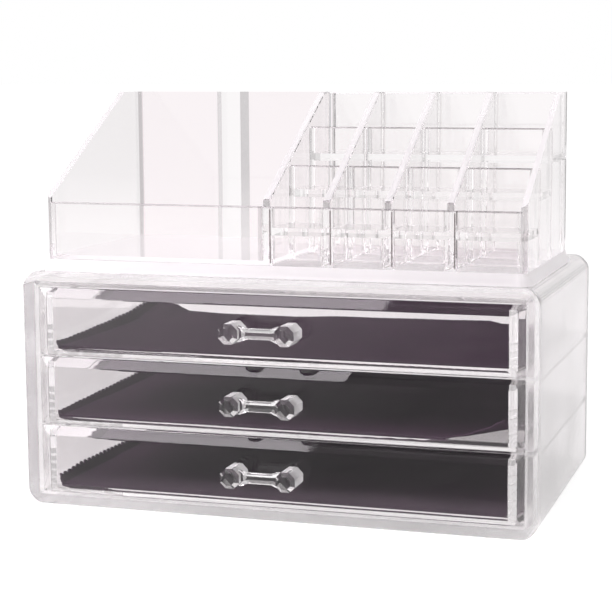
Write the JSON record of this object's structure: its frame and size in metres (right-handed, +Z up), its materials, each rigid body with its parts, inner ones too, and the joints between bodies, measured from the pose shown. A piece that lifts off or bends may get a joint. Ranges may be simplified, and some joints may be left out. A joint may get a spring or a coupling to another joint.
{
  "type": "makeup organizer",
  "caption": "Clear desktop cabinet with sliding drawers on ledges, each lined with a dark mat, and a lift-off tray with an open bay and stepped cells on top.",
  "frame": {"origin": "middle of the cabinet's underside, without the handles", "axes": "+X across the width to the right, +Z up; the drawers open towards -Y"},
  "size_m": [0.24, 0.149, 0.1894],
  "materials": {
    "clear_cabinet": "clear, glossy",
    "clear_drawer": "clear, glossy",
    "clear_handle": "clear, glossy, moulded solid",
    "clear_tray": "clear, glossy",
    "dark_mat": "fine dark mesh with a soft sheen"
  },
  "bodies": {
    "cabinet": {"cabinet_top": "clear_cabinet", "cabinet_bottom": "clear_cabinet", "cabinet_left_side": "clear_cabinet", "cabinet_right_side": "clear_cabinet", "cabinet_back": "clear_cabinet", "cabinet_front_rim": "clear_cabinet", "drawer_runners": "clear_cabinet"},
    "upper_drawer": {"upper_drawer_front": "clear_drawer", "upper_drawer_box": "clear_drawer", "upper_drawer_handle": "clear_handle", "upper_drawer_mat": "dark_mat"},
    "middle_drawer": {"middle_drawer_front": "clear_drawer", "middle_drawer_box": "clear_drawer", "middle_drawer_handle": "clear_handle", "middle_drawer_mat": "dark_mat"},
    "lower_drawer": {"lower_drawer_front": "clear_drawer", "lower_drawer_box": "clear_drawer", "lower_drawer_handle": "clear_handle", "lower_drawer_mat": "dark_mat"},
    "tray": {"tray_foot": "clear_tray", "tray_bay_floor": "clear_tray", "tray_back_wall": "clear_tray", "tray_left_wall": "clear_tray", "tray_right_wall": "clear_tray", "tray_front_wall": "clear_tray", "tray_back_rib": "clear_tray", "cell_dividers": "clear_tray", "cell_row_walls": "clear_tray", "cell_floors": "clear_tray"}
  },
  "joints": [
    {"name": "upper_drawer_slide", "type": "slide", "parent": "cabinet", "child": "upper_drawer", "axis": [0, -1, 0], "range_m": [0, 0.105]},
    {"name": "middle_drawer_slide", "type": "slide", "parent": "cabinet", "child": "middle_drawer", "axis": [0, -1, 0], "range_m": [0, 0.105]},
    {"name": "lower_drawer_slide", "type": "slide", "parent": "cabinet", "child": "lower_drawer", "axis": [0, -1, 0], "range_m": [0, 0.105]},
    {"name": "tray_lift", "type": "slide", "parent": "cabinet", "child": "tray", "axis": [0, 0, 1], "range_m": [0, 0.06]}
  ]
}
